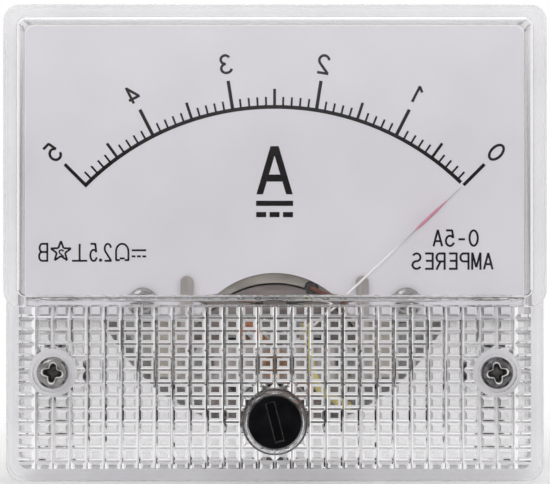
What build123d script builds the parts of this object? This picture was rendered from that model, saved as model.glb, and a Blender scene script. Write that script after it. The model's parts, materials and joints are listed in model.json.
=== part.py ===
from build123d import *
import os
from math import asin, atan2, cos, degrees, radians, sin, tan

# Moving-coil panel meter. X is right and Z is up as seen from the front, Y runs into the panel.
# The origin is the centre of the round body on the panel plane. All lengths are in millimetres.

# Face and clear cover
face_width = 64.0
face_height = 56.5
axis_rise = 28.5
face_corner_r = 2.0
face_depth = 13.0
front_edge_r = 0.5
pane_edge_r = 0.4
strip_height = 20.8
strip_step = 2.8
strip_thickness = 1.8
window_thickness = 1.5
side_wall = 1.5
shelf_wall = 1.2

# Ribbed pattern inside the strip
rib_columns = 30
rib_rows = 12
rib_row_pitch = 1.55
rib_first_row = 1.35
rib_slope = 43.0
rib_floor = 0.18
rib_flat_width = 0.95
rib_flat_height = 0.66

# Cover screws, their bosses and the stud inserts on the same axes
screw_inset = 5.5
screw_rise = 12.9
screw_boss_r = 2.9
counterbore_r = 2.3
counterbore_depth = 1.75
cover_screw_r = 1.0
cover_screw_length = 7.2
cover_screw_head_r = 1.9
cover_screw_head_height = 1.5
insert_r = 2.5
insert_boss_r = 3.6
insert_boss_height = 2.0
insert_floor = 0.6
insert_cover = 1.2
mounting_stud_r = 1.5
mounting_stud_length = 14.0
stud_shoulder_r = 1.7

# Base: flange, locating lip and round body
flange_thickness = 2.0
lip_height = 1.0
lip_wall = 1.2
lip_gap = 0.15
can_margin = 3.75
can_wall = 1.75
can_depth = 28.0
can_floor = 2.0
can_edge_r = 1.0
pillar_r = 3.0

# Terminals and shunt
terminal_x = 12.5
terminal_z = 2.0
terminal_r = 2.0
terminal_pitch_r = 1.77
terminal_head_r = 4.0
terminal_head_height = 2.8
terminal_pad_r = 6.0
terminal_pad_height = 1.0
terminal_length = 15.0
washer_r = 4.5
washer_thickness = 0.8
nut_across_flats = 7.0
nut_height = 3.2
nut_chamfer = 30.0
shunt_thickness = 0.8
shunt_width = 5.0
shunt_eye_r = 4.6
shunt_arch_height = 4.0
shunt_arch_width = 13.0

# Dial plate and the posts it is screwed to
dial_thickness = 0.6
dial_gap = 0.3
dial_bottom_rise = 5.0
dial_corner_r = 1.0
dial_notch_r = 10.75
dial_post_x = 16.0
dial_post_rise = 7.2
dial_post_r = 2.0
dial_post_stud_r = 1.0
dial_post_stud_length = 6.0
dial_screw_head_r = 1.8
dial_screw_head_height = 1.3
dial_screw_length = 4.0

# Pivot axis and scale
pivot_rise = 14.0
scale_centre_drop = 1.54
scale_r = 32.45
scale_half_angle = 45.0
overtravel = 2.5

# Magnet, pole pieces, core and its carrier
magnet_front_y = -2.2
magnet_length = 11.0
magnet_r = 15.0
magnet_half_gap = 10.9
magnet_leg_drop = 2.0
crown_r = 11.4
crown_height = 9.53
crown_gap = 0.25
pole_drop = 3.2
pole_lower_r = 9.2
pole_bore_r = 6.35
can_clearance = 0.6
carrier_thickness = 0.8
key_half_width = 1.4
core_r = 4.8
core_flat = 4.4
core_recess = 0.2
lead_x = 4.5
lead_rise = 8.9
lead_hole_r = 0.85

# Coil
coil_half_width = 5.1
coil_end_gap = 0.5
coil_side_width = 3.0
coil_frame_thickness = 0.25
winding_width = 2.4
winding_thickness = 0.5

# Pivots, jewels and jewel screws
pivot_r = 0.35
pivot_base_r = 1.2
pivot_base_height = 0.5
pivot_cone = 0.6
pivot_play = 0.03
jewel_r = 0.75
jewel_cup_r = 0.6
jewel_length = 0.95
jewel_screw_r = 1.1
jewel_screw_length = 2.3
jewel_slot_width = 0.4
jewel_slot_depth = 0.5
locknut_r = 1.9
locknut_height = 0.6

# Front and rear bridges
bridge_thickness = 0.8
bridge_half_height = 2.2
bridge_half_span = 7.2
bridge_rise = 4.4
rear_bridge_rise = 2.4
rear_plate_thickness = 1.6
foot_end_x = 11.4
foot_screw_x = 9.3
foot_screw_r = 1.0
foot_screw_head_r = 1.8
foot_screw_head_height = 1.4
foot_screw_length = 4.2
tab_width = 1.54
tab_rise = 10.4
tab_thickness = 0.5
tab_lift = 0.1
tab_root = 0.3
lever_boss_r = 1.5
lever_boss_height = 1.0
tag_x = 3.8
tag_width = 1.6
tag_height = 2.6
stop_r = 0.4
stop_reach = 7.5
stop_height = 3.6

# Pointer, hub and balance weights
pointer_gap = 1.35
pointer_thickness = 0.15
pointer_half_width = 0.15
pointer_length = 30.9
pointer_root = 0.7
lance_start = 23.3
lance_widest = 25.6
lance_end = 28.7
lance_half_width = 0.3
lance_end_half_width = 0.12
tip_half_width = 0.05
hub_r = 1.2
hub_thickness = 0.3
hub_arm_width = 0.5
hub_arm_reach = 4.95
hub_tail_width = 0.8
hub_tail_reach = 5.6
hub_fore_reach = 4.0
weight_start = 4.1
arm_weight_length = 0.8
arm_weight_r = 0.45
tail_weight_length = 1.4
tail_weight_r = 0.65

# Hairsprings
spring_turns = 3
spring_inner_r = 1.0
spring_pitch = 0.72
spring_strip = 0.12
spring_width = 0.3
spring_post_r = 0.35
collet_height = 0.5

# Zero adjuster and zero lever
adjuster_rise = 7.2
adjuster_head_r = 3.2
adjuster_head_height = 1.4
adjuster_slot_width = 1.0
adjuster_slot_length = 4.7
adjuster_slot_depth = 0.8
adjuster_slot_tilt = 14.5
adjuster_stem_r = 1.65
adjuster_keeper_r = 2.3
adjuster_keeper_height = 0.6
adjuster_pin_r = 0.5
adjuster_pin_throw = 1.2
adjuster_pin_length = 1.2
adjuster_play = 0.1
adjuster_split = 0.6
collar_r = 3.95
collar_height = 1.2
collar_edge_r = 0.3
lever_thickness = 0.4
lever_eye_r = 2.2
lever_arm_width = 2.0
lever_fork_width = 3.1
lever_fork_height = 2.9

# Leads
sleeve_r = 0.7
sleeve_end = 1.0
sleeve_run = 6.9
bare_wire_r = 0.25
bare_wire_steps = ((0.0, 0.0), (2.3, -1.0), (4.1, -3.2))
bare_wire_bends = (0.3, 1.2, 1.2)
bare_wire_end_gap = 0.12
lead_r = 0.55
lead_bend_r = 2.5
lead_drop = 5.4
yellow_steps = ((0.6, -0.13, -1.0), (1.6, -0.13, -3.3), (5.1, 2.2, -5.4))
yellow_bends = (3.0, 2.0, 2.0, lead_bend_r, lead_bend_r)
yellow_run = 1.6

# Clearances
fit_gap = 0.02
running_gap = 0.05
thread_gap = 0.05
screw_gap = 0.1
fork_gap = 0.15
solder_gap = 0.02

# Depths worked out from the sizes above
window_y = -face_depth
strip_y = window_y + strip_step
strip_inner_y = strip_y + strip_thickness
flange_y = -flange_thickness
dial_y = flange_y - lip_height
dial_front_y = dial_y - dial_thickness
insert_boss_y = flange_y - insert_boss_height
insert_y = insert_boss_y + insert_cover
floor_y = can_depth - can_floor
terminal_pad_y = can_depth + terminal_pad_height
magnet_rear_y = magnet_front_y + magnet_length
pole_front_y = magnet_front_y + carrier_thickness
core_front_y = pole_front_y + core_recess
core_rear_y = magnet_rear_y - core_recess
coil_front_y = core_front_y - coil_end_gap - coil_frame_thickness - winding_thickness
coil_rear_y = core_rear_y + coil_end_gap + coil_frame_thickness + winding_thickness
rear_plate_y = magnet_rear_y + rear_plate_thickness
strap_y = magnet_front_y - bridge_rise
rear_strap_y = rear_plate_y + rear_bridge_rise
pointer_y = dial_front_y - pointer_gap
lever_y = strap_y - (lever_boss_height - lever_thickness) / 2 - lever_thickness

# Places worked out from the sizes above
bottom_z = -axis_rise
top_z = bottom_z + face_height
face_mid_z = (bottom_z + top_z) / 2
strip_top_z = bottom_z + strip_height
screw_x = face_width / 2 - screw_inset
screw_z = bottom_z + screw_rise
adjuster_z = bottom_z + adjuster_rise
pivot_z = bottom_z + pivot_rise
scale_centre_z = pivot_z - scale_centre_drop
dial_bottom_z = pivot_z + dial_bottom_rise
dial_post_z = pivot_z + dial_post_rise
tab_top_z = pivot_z + tab_rise
can_r = min(face_width / 2, axis_rise) - can_margin
inner_half_width = face_width / 2 - side_wall
inner_height = face_height - 2 * side_wall
inner_top_z = top_z - side_wall
inner_bottom_z = bottom_z + side_wall
inner_corner_r = face_corner_r / 2
movement_room_r = can_r - can_wall - can_clearance
scale_half = radians(scale_half_angle)
zero_angle = degrees(
    atan2(scale_r * sin(scale_half), scale_r * cos(scale_half) + scale_centre_z - pivot_z)
)
stop_angle = zero_angle + overtravel
stop_angle += degrees(asin((stop_r + pointer_half_width + running_gap) / stop_reach))
spring_outer_r = spring_inner_r + spring_turns * spring_pitch
tab_x = foot_end_x - tab_width / 2
sides = (-1, 1)


# Small helpers
def at(x, z, outline):
    return Pos(x, z) * outline


def slab(outline, front_y, rear_y):
    """Prism of an outline drawn in the front view, between two depths."""
    return extrude(Plane.XZ.offset(-rear_y) * outline, rear_y - front_y)


def rod(r, front_y, rear_y, x=0, z=0):
    """Round bar along Y."""
    return slab(at(x, z, Circle(r)), front_y, rear_y)


def turned(profile, x=0, z=0):
    """Turned piece about an axis along Y, from (radius, depth) pairs."""
    face = make_face(Polyline(*profile, close=True))
    return Pos(x, 0, z) * revolve(face, Axis.Y)


def strip_between(x0, x1, z0, z1):
    """Upright rectangle in the front view from its corners."""
    return at((x0 + x1) / 2, (z0 + z1) / 2, Rectangle(x1 - x0, z1 - z0))


def tube(points, bend_r, r):
    """Round lead along straight runs joined by tangent arcs."""
    path = FilletPolyline(*points, radius=bend_r)
    return sweep(Plane(origin=path @ 0, z_dir=path % 0) * Circle(r), path)


def pan_screw(x, z, seat_y, head_r, head_height, shank_r, length):
    """Pan-head screw from the front, its head's underside at seat_y, with a cross recess."""
    edge = head_height / 2
    screw = turned(
        [
            (0, seat_y - head_height),
            (head_r - edge, seat_y - head_height),
            (head_r, seat_y - head_height + edge),
            (head_r, seat_y),
            (shank_r, seat_y),
            (shank_r, seat_y + length),
            (0, seat_y + length),
        ],
        x,
        z,
    )
    arm = head_r * 1.1
    cross = at(x, z, Rectangle(arm, arm / 4) + Rectangle(arm / 4, arm))
    return screw - slab(cross, seat_y - head_height, seat_y - head_height / 2)


def edges_at(piece, y):
    """Edges in the plane at one depth."""
    return piece.edges().filter_by(lambda e: abs(e.center().Y - y) < 1e-6)


def on_pivot(piece):
    """From pointer-up on the origin to the rest position at zero on the pivot axis."""
    return Pos(0, 0, pivot_z) * Rot(0, zero_angle, 0) * piece


# Cover
def face_outline():
    return at(0, face_mid_z, RectangleRounded(face_width, face_height, face_corner_r))


def groove_profile(pitch, flat):
    """Groove with sloped sides and a narrow floor, as (across, depth) pairs from the face it is cut in."""
    top, floor = (pitch - flat) / 2, rib_floor / 2
    depth = (top - floor) * tan(radians(rib_slope))
    return [(-top, 0), (-floor, -depth), (floor, -depth), (top, 0)]


def rib_grooves():
    """Grooves both ways over the strip's inner face, which leave rows of flat-topped pyramids."""
    column_pitch = 2 * inner_half_width / rib_columns
    columns = []
    for k in range(1, rib_columns):
        x = -inner_half_width + k * column_pitch
        profile = [(x + u, strip_inner_y + v) for u, v in groove_profile(column_pitch, rib_flat_width)]
        column = extrude(make_face(Polyline(*profile, close=True)), strip_top_z - inner_bottom_z)
        columns.append(Pos(0, 0, inner_bottom_z) * column)
    rows = []
    for k in range(rib_rows):
        z = strip_top_z - rib_first_row - k * rib_row_pitch
        profile = [(strip_inner_y + v, z + u) for u, v in groove_profile(rib_row_pitch, rib_flat_height)]
        row = extrude(Plane.YZ * make_face(Polyline(*profile, close=True)), inner_half_width, both=True)
        rows.append(row)
    return columns, rows


def front_cover():
    window_height = top_z - strip_top_z
    window_z = strip_top_z + window_height / 2
    cavity_height = window_height - side_wall - shelf_wall
    cavity_z = inner_top_z - cavity_height / 2
    cover = slab(face_outline(), strip_y, flange_y)
    window = at(0, window_z, RectangleRounded(face_width, window_height, face_corner_r))
    cover += slab(window, window_y, strip_y)
    cover = fillet(edges_at(cover, window_y), front_edge_r)
    strip_rim = edges_at(cover, strip_y).filter_by(lambda e: e.center().Z < strip_top_z - face_corner_r)
    cover = fillet(strip_rim, front_edge_r)
    inside = RectangleRounded(2 * inner_half_width, inner_height, inner_corner_r)
    cover -= slab(at(0, face_mid_z, inside), strip_inner_y, flange_y)
    pane = RectangleRounded(2 * inner_half_width, cavity_height, inner_corner_r)
    cavity = slab(at(0, cavity_z, pane), window_y + window_thickness, strip_inner_y)
    cover -= fillet(edges_at(cavity, window_y + window_thickness), pane_edge_r)
    for grooves in rib_grooves():
        cover -= grooves
    collar = rod(collar_r, strip_y - collar_height, strip_inner_y, 0, adjuster_z)
    cover += fillet(edges_at(collar, strip_y - collar_height), collar_edge_r)
    cover -= rod(adjuster_head_r + screw_gap, strip_y - collar_height, strip_y, 0, adjuster_z)
    cover -= rod(adjuster_stem_r + running_gap, strip_y, strip_inner_y, 0, adjuster_z)
    for side in sides:
        x = side * screw_x
        cover += rod(screw_boss_r, strip_y, insert_boss_y, x, screw_z)
        cover -= rod(counterbore_r, strip_y, strip_y + counterbore_depth, x, screw_z)
        cover -= rod(cover_screw_r + screw_gap, strip_y, insert_boss_y, x, screw_z)
    return cover


def cover_screws():
    seat_y = strip_y + counterbore_depth
    return [
        pan_screw(
            side * screw_x,
            screw_z,
            seat_y,
            cover_screw_head_r,
            cover_screw_head_height,
            cover_screw_r,
            cover_screw_length,
        )
        for side in sides
    ]


# Base and what is fixed to it
def base():
    body = slab(face_outline(), flange_y, 0)
    lip_width = 2 * (inner_half_width - lip_gap)
    lip_tall = inner_height - 2 * lip_gap
    lip = RectangleRounded(lip_width, lip_tall, inner_corner_r)
    lip -= RectangleRounded(lip_width - 2 * lip_wall, lip_tall - 2 * lip_wall, inner_corner_r)
    body += slab(at(0, face_mid_z, lip), dial_y, flange_y)
    can = rod(can_r, 0, can_depth)
    body += fillet(edges_at(can, can_depth), can_edge_r)
    for side in sides:
        body += rod(insert_boss_r, insert_boss_y, flange_y, side * screw_x, screw_z)
        body += rod(terminal_pad_r, can_depth, terminal_pad_y, side * terminal_x, terminal_z)
    body -= rod(can_r - can_wall, flange_y, floor_y)
    for side in sides:
        x = side * screw_x
        body -= rod(cover_screw_r + screw_gap, insert_boss_y, insert_y, x, screw_z)
        body -= rod(insert_r + fit_gap, insert_y, -insert_floor, x, screw_z)
        body -= rod(stud_shoulder_r + fit_gap, -insert_floor, 0, x, screw_z)
        body -= rod(terminal_r + thread_gap, floor_y, terminal_pad_y, side * terminal_x, terminal_z)
        x = side * dial_post_x
        body += rod(pillar_r, rear_plate_y, floor_y, x, dial_post_z)
        hole_end = magnet_rear_y + dial_post_stud_length + screw_gap
        body -= rod(dial_post_stud_r + fit_gap, rear_plate_y, hole_end, x, dial_post_z)
    return body


def mounting_studs():
    studs = []
    for side in sides:
        stud = turned(
            [
                (0, insert_y),
                (insert_r, insert_y),
                (insert_r, -insert_floor),
                (stud_shoulder_r, -insert_floor),
                (stud_shoulder_r, 0),
                (mounting_stud_r, 0),
                (mounting_stud_r, mounting_stud_length),
                (0, mounting_stud_length),
            ],
            side * screw_x,
            screw_z,
        )
        tip_y = strip_y + counterbore_depth + cover_screw_length + screw_gap
        studs.append(stud - rod(cover_screw_r + thread_gap, insert_y, tip_y, side * screw_x, screw_z))
    return studs


def terminal_studs():
    """Headed studs, at the thread's pitch radius where the nut grips and at its outside radius elsewhere."""
    seat_y = floor_y - shunt_thickness
    nut_y = terminal_pad_y + washer_thickness
    end_y = terminal_pad_y + terminal_length
    profile = [
        (0, seat_y - terminal_head_height),
        (terminal_head_r, seat_y - terminal_head_height),
        (terminal_head_r, seat_y),
        (terminal_r, seat_y),
        (terminal_r, nut_y),
        (terminal_pitch_r, nut_y),
        (terminal_pitch_r, nut_y + nut_height),
        (terminal_r, nut_y + nut_height),
        (terminal_r, end_y),
        (0, end_y),
    ]
    return [turned(profile, side * terminal_x, terminal_z) for side in sides]


def terminal_washers():
    ring = Circle(washer_r) - Circle(terminal_r + thread_gap)
    rear_y = terminal_pad_y + washer_thickness
    return [slab(at(side * terminal_x, terminal_z, ring), terminal_pad_y, rear_y) for side in sides]


def terminal_nuts():
    """Hexagon nuts with both ends chamfered."""
    front_y = terminal_pad_y + washer_thickness
    rear_y = front_y + nut_height
    flat = nut_across_flats / 2
    corner = flat / cos(radians(30)) + fit_gap
    drop = (corner - flat) * tan(radians(nut_chamfer))
    bore = terminal_pitch_r + thread_gap
    blank = [
        (bore, front_y),
        (flat, front_y),
        (corner, front_y + drop),
        (corner, rear_y - drop),
        (flat, rear_y),
        (bore, rear_y),
    ]
    hexagon = RegularPolygon(flat, 6, major_radius=False)
    nuts = []
    for side in sides:
        prism = slab(at(side * terminal_x, terminal_z, hexagon), front_y, rear_y)
        nuts.append(prism & turned(blank, side * terminal_x, terminal_z))
    return nuts


def shunt_strip():
    """Bent resistance strip between the two terminals, with an eye under each stud head."""
    eye_y = floor_y - shunt_thickness
    arch_y = eye_y - shunt_arch_height
    foot = shunt_arch_width / 2
    crest = foot - shunt_arch_height
    bend = [
        (-terminal_x, floor_y),
        (-terminal_x, eye_y),
        (-foot, eye_y),
        (-crest, arch_y),
        (crest, arch_y),
        (foot, eye_y),
        (terminal_x, eye_y),
        (terminal_x, floor_y),
        (foot, floor_y),
        (crest, arch_y + shunt_thickness),
        (-crest, arch_y + shunt_thickness),
        (-foot, floor_y),
    ]
    strip = extrude(make_face(Polyline(*bend, close=True)), shunt_width / 2, both=True)
    strip = Pos(0, 0, terminal_z) * strip
    for side in sides:
        strip += rod(shunt_eye_r, eye_y, floor_y, side * terminal_x, terminal_z)
    for side in sides:
        strip -= rod(terminal_r + thread_gap, eye_y, floor_y, side * terminal_x, terminal_z)
    return strip


# Dial
def dial_plate():
    half_width = inner_half_width - dial_gap
    dial_top_z = inner_top_z - dial_gap
    height = dial_top_z - dial_bottom_z
    sheet = at(0, dial_top_z - height / 2, RectangleRounded(2 * half_width, height, dial_corner_r))
    sheet -= at(0, pivot_z, Circle(dial_notch_r))
    for side in sides:
        sheet -= at(side * dial_post_x, dial_post_z, Circle(dial_post_stud_r + screw_gap))
    return slab(sheet, dial_front_y, dial_y)


def dial_screws():
    return [
        pan_screw(
            side * dial_post_x,
            dial_post_z,
            dial_front_y,
            dial_screw_head_r,
            dial_screw_head_height,
            dial_post_stud_r,
            dial_screw_length,
        )
        for side in sides
    ]


def dial_posts():
    end_y = magnet_rear_y + dial_post_stud_length
    profile = [
        (0, dial_y),
        (dial_post_r, dial_y),
        (dial_post_r, magnet_rear_y),
        (dial_post_stud_r, magnet_rear_y),
        (dial_post_stud_r, end_y),
        (0, end_y),
    ]
    hole_end = dial_front_y + dial_screw_length + screw_gap
    return [
        turned(profile, side * dial_post_x, dial_post_z)
        - rod(dial_post_stud_r + thread_gap, dial_y, hole_end, side * dial_post_x, dial_post_z)
        for side in sides
    ]


# Magnet system
def movement_room():
    return Circle(movement_room_r)


def crown(r):
    return at(0, pivot_z + crown_height - crown_r, Circle(r))


def lead_hole():
    return at(lead_x, pivot_z + lead_rise, Circle(lead_hole_r))


def block_outline():
    """Outline shared by the carrier and the pole pieces: between the magnet's legs, under its crown."""
    half = magnet_half_gap - fit_gap
    upper = strip_between(-half, half, pivot_z - pole_drop, pivot_z + crown_height)
    block = (upper & crown(crown_r - crown_gap)) + at(0, pivot_z, Circle(pole_lower_r))
    return (block & movement_room()) - lead_hole()


def magnet():
    bottom = pivot_z - magnet_leg_drop
    top = pivot_z + magnet_r
    arch = at(0, pivot_z, Circle(magnet_r)) & strip_between(-magnet_r, magnet_r, bottom, top)
    inside = strip_between(-magnet_half_gap, magnet_half_gap, bottom, top) & crown(crown_r)
    return slab(((arch & movement_room()) - inside) - lead_hole(), magnet_front_y, magnet_rear_y)


def pole_piece(side):
    near, far = sorted((side * (key_half_width + fit_gap), side * magnet_half_gap))
    half = strip_between(near, far, pivot_z - magnet_r, pivot_z + magnet_r)
    outline = (block_outline() & half) - at(0, pivot_z, Circle(pole_bore_r))
    pole = slab(outline, pole_front_y, magnet_rear_y)
    x = side * foot_screw_x
    hole_r = foot_screw_r + thread_gap
    front_end_y = magnet_front_y - bridge_thickness + foot_screw_length + screw_gap
    rear_end_y = rear_plate_y - foot_screw_length - screw_gap
    pole -= rod(hole_r, pole_front_y, front_end_y, x, pivot_z)
    return pole - rod(hole_r, rear_end_y, magnet_rear_y, x, pivot_z)


def core_carrier():
    """Front plate with two keys that reach back between the pole tips and hold the core by its flats."""
    plate = block_outline() - at(0, pivot_z, Circle(pole_bore_r))
    for side in sides:
        plate -= at(side * foot_screw_x, pivot_z, Circle(foot_screw_r + screw_gap))
    carrier = slab(plate, magnet_front_y, pole_front_y)
    key = strip_between(-key_half_width, key_half_width, pivot_z - magnet_r, pivot_z + magnet_r)
    flats = strip_between(-key_half_width, key_half_width, pivot_z - core_flat, pivot_z + core_flat)
    return carrier + slab((key & block_outline()) - flats, pole_front_y, magnet_rear_y)


def core():
    flats = strip_between(-core_r, core_r, pivot_z - core_flat, pivot_z + core_flat)
    return slab(at(0, pivot_z, Circle(core_r)) & flats, core_front_y, core_rear_y)


def stop_pins():
    pins = []
    for side in sides:
        x = side * stop_reach * sin(radians(stop_angle))
        z = pivot_z + stop_reach * cos(radians(stop_angle))
        pins.append(rod(stop_r, magnet_front_y - stop_height, magnet_front_y, x, z))
    return pins


# Bridges
def strap(near_y, far_y):
    """Flat strap across the movement at the pivot's height."""
    half = bridge_half_span
    return slab(
        strip_between(-half, half, pivot_z - bridge_half_height, pivot_z + bridge_half_height),
        near_y,
        far_y,
    )


def leg(side, front_y, rear_y):
    near, far = sorted((side * (bridge_half_span - bridge_thickness), side * bridge_half_span))
    outline = strip_between(near, far, pivot_z - bridge_half_height, pivot_z + bridge_half_height)
    return slab(outline, front_y, rear_y)


def front_bridge():
    foot_y = magnet_front_y - bridge_thickness
    tab_rear_y = dial_front_y - tab_lift
    foot_top_z = pivot_z + bridge_half_height
    bridge = strap(strap_y, strap_y + bridge_thickness)
    tag = strip_between(tag_x - tag_width / 2, tag_x + tag_width / 2, foot_top_z, foot_top_z + tag_height)
    bridge += slab(tag, strap_y, strap_y + bridge_thickness)
    bridge += rod(lever_boss_r, strap_y - lever_boss_height, strap_y, 0, pivot_z)
    for side in sides:
        bridge += leg(side, strap_y, magnet_front_y)
        near, far = sorted((side * (bridge_half_span - bridge_thickness), side * foot_end_x))
        foot = strip_between(near, far, pivot_z - bridge_half_height, foot_top_z)
        bridge += slab(foot, foot_y, magnet_front_y)
        x0 = side * tab_x - tab_width / 2
        x1 = x0 + tab_width
        joggle = strip_between(x0, x1, foot_top_z - tab_root, foot_top_z + tab_thickness)
        bridge += slab(joggle, tab_rear_y - tab_thickness, magnet_front_y)
        tab = strip_between(x0, x1, foot_top_z - tab_root, tab_top_z - tab_width / 2)
        tab += at(side * tab_x, tab_top_z - tab_width / 2, Circle(tab_width / 2))
        bridge += slab(tab, tab_rear_y - tab_thickness, tab_rear_y)
        bridge -= rod(foot_screw_r + screw_gap, foot_y, magnet_front_y, side * foot_screw_x, pivot_z)
    bore = jewel_screw_r + fit_gap
    return bridge - rod(bore, strap_y - lever_boss_height, strap_y + bridge_thickness, 0, pivot_z)


def front_bridge_screws():
    seat_y = magnet_front_y - bridge_thickness
    return [
        pan_screw(
            side * foot_screw_x,
            pivot_z,
            seat_y,
            foot_screw_head_r,
            foot_screw_head_height,
            foot_screw_r,
            foot_screw_length,
        )
        for side in sides
    ]


def rear_bridge():
    """Plate behind the magnet that carries the movement on the dial posts, with the rear strap."""
    ears = at(0, dial_post_z, SlotCenterToCenter(2 * dial_post_x, 2 * pillar_r))
    plate = (block_outline() + ears) & movement_room()
    plate -= at(0, pivot_z, Circle(pole_bore_r))
    plate -= lead_hole()
    for side in sides:
        plate -= at(side * dial_post_x, dial_post_z, Circle(dial_post_stud_r + fit_gap))
        plate -= at(side * foot_screw_x, pivot_z, Circle(foot_screw_r + screw_gap))
    bridge = slab(plate, magnet_rear_y, rear_plate_y)
    bridge += strap(rear_strap_y - bridge_thickness, rear_strap_y)
    for side in sides:
        bridge += leg(side, rear_plate_y - bridge_thickness, rear_strap_y)
    z = pivot_z - spring_outer_r
    bridge += rod(spring_post_r, spring_mid_y(1) - spring_width / 2, rear_strap_y, 0, z)
    arm = strip_between(-spring_post_r, spring_post_r, z, pivot_z - bridge_half_height)
    bridge += slab(arm, rear_strap_y - bridge_thickness, rear_strap_y)
    bore = jewel_screw_r + fit_gap
    return bridge - rod(bore, rear_strap_y - bridge_thickness, rear_strap_y, 0, pivot_z)


def rear_bridge_screws():
    mirror_y = rear_plate_y
    screws = []
    for side in sides:
        screw = pan_screw(
            0, 0, 0, foot_screw_head_r, foot_screw_head_height, foot_screw_r, foot_screw_length
        )
        screws.append(Pos(side * foot_screw_x, mirror_y, pivot_z) * Rot(0, 0, 180) * screw)
    return screws


# Pivots, jewels and their screws. Outward is -1 at the front of the coil and 1 at the rear.
def inner_face(outward):
    """Depth of a strap's face towards the coil."""
    return strap_y + bridge_thickness if outward < 0 else rear_strap_y - bridge_thickness


def cup_y(outward):
    return inner_face(outward) + outward * pivot_cone


def spring_mid_y(outward):
    """Middle of the room that a hairspring has beside its strap."""
    room_end = pointer_y - pointer_thickness if outward < 0 else coil_rear_y + pivot_base_height
    return (inner_face(outward) + room_end) / 2


def pivot(outward):
    """Steel pivot: a foot cemented to the coil, a shaft with the spring's collet and a cone point."""
    base_y = coil_front_y if outward < 0 else coil_rear_y
    foot_y = base_y + outward * pivot_base_height
    tip_y = cup_y(outward) - outward * pivot_play
    collet_r = spring_inner_r - spring_strip / 2 - fit_gap
    near_y = spring_mid_y(outward) - outward * collet_height / 2
    far_y = spring_mid_y(outward) + outward * collet_height / 2
    profile = [
        (0, base_y),
        (pivot_base_r, base_y),
        (pivot_base_r, foot_y),
        (pivot_r, foot_y),
        (pivot_r, near_y),
        (collet_r, near_y),
        (collet_r, far_y),
        (pivot_r, far_y),
        (pivot_r, tip_y - outward * pivot_cone),
        (0, tip_y),
    ]
    return turned(profile, 0, pivot_z)


def jewel(outward):
    """Stone with a cone cup for the pivot's point."""
    mouth_y = cup_y(outward) - outward * pivot_cone
    back_y = mouth_y + outward * jewel_length
    profile = [
        (0, cup_y(outward)),
        (jewel_cup_r, mouth_y),
        (jewel_r, mouth_y),
        (jewel_r, back_y),
        (0, back_y),
    ]
    return turned(profile, 0, pivot_z)


def jewel_screw(outward):
    """Slotted screw with the jewel in a pocket at its inner end."""
    inner_y = inner_face(outward)
    pocket_y = inner_y + outward * jewel_length
    outer_y = inner_y + outward * jewel_screw_length
    profile = [
        (0, outer_y),
        (jewel_screw_r, outer_y),
        (jewel_screw_r, inner_y),
        (jewel_r + fit_gap, inner_y),
        (jewel_r + fit_gap, pocket_y),
        (0, pocket_y),
    ]
    slot_y = sorted((outer_y, outer_y - outward * jewel_slot_depth))
    slot = slab(at(0, pivot_z, Rectangle(2 * jewel_screw_r, jewel_slot_width)), *slot_y)
    return turned(profile, 0, pivot_z) - slot


def locknut(outward):
    seat_y = strap_y - lever_boss_height if outward < 0 else rear_strap_y
    depths = sorted((seat_y, seat_y + outward * locknut_height))
    hexagon = RegularPolygon(locknut_r, 6) - Circle(jewel_screw_r + fit_gap)
    return slab(at(0, pivot_z, hexagon), *depths)


def hairspring(outward):
    """Flat spiral of half turns about two centres, its outer end beside the post that holds it."""
    spiral = Sketch()
    reach = 2 * spring_outer_r
    for turn in range(spring_turns):
        for centre_x, side in ((0, 1), (spring_pitch / 2, -1)):
            r = spring_inner_r + turn * spring_pitch + centre_x
            ring = at(centre_x, 0, Circle(r + spring_strip / 2) - Circle(r - spring_strip / 2))
            spiral += ring & at(0, side * reach / 2, Rectangle(2 * reach, reach))
    post_share = degrees((spring_post_r + solder_gap) / spring_outer_r)
    spiral = at(0, pivot_z, Rot(0, 0, -90 - post_share) * spiral)
    front_y = spring_mid_y(outward) - spring_width / 2
    return slab(spiral, front_y, front_y + spring_width)


# Moving coil, drawn with the pointer up and the pivot axis on the origin
def coil_loop(depth, width):
    """Rectangular loop round the core, seen from above, as thick as depth outside the frame's inner size."""
    inner_front = core_front_y - coil_end_gap
    inner_rear = core_rear_y + coil_end_gap
    middle = (inner_front + inner_rear) / 2
    length = inner_rear - inner_front
    outer = Rectangle(2 * (coil_half_width + depth), length + 2 * depth)
    return extrude(Pos(0, middle) * outer, width / 2, both=True)


def coil_frame():
    frame = coil_loop(coil_frame_thickness, coil_side_width) - coil_loop(0, coil_side_width)
    return on_pivot(frame)


def coil_winding():
    full = coil_loop(coil_frame_thickness + winding_thickness, winding_width)
    return on_pivot(full - coil_loop(coil_frame_thickness, winding_width))


def pointer():
    """Flat pointer with a lance near its tip, lying on the hub's front face."""
    right = [
        (pointer_half_width, pointer_root),
        (pointer_half_width, lance_start),
        (lance_half_width, lance_widest),
        (lance_end_half_width, lance_end),
        (tip_half_width, pointer_length),
    ]
    left = [(-x, z) for x, z in reversed(right)]
    blade = make_face(Polyline(*right, *left, close=True))
    return on_pivot(slab(blade, pointer_y - pointer_thickness, pointer_y))


def pointer_hub():
    """Stamped cross: fore-arm under the pointer, two side arms and a tail for the weights."""
    cross = Circle(hub_r)
    cross += strip_between(-hub_tail_width / 2, hub_tail_width / 2, -hub_tail_reach, hub_fore_reach)
    cross += Rectangle(2 * hub_arm_reach, hub_arm_width)
    cross -= Circle(pivot_r + fit_gap)
    return on_pivot(slab(cross, pointer_y, pointer_y + hub_thickness))


def balance_weight(r, length, arm_width):
    """Small weight threaded on an arm that points along X."""
    weight = Rot(0, 90, 0) * Cylinder(r, length)
    hole = Box(length, hub_thickness + 2 * fit_gap, arm_width + 2 * fit_gap)
    return Pos(weight_start + length / 2, pointer_y + hub_thickness / 2, 0) * (weight - hole)


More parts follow.
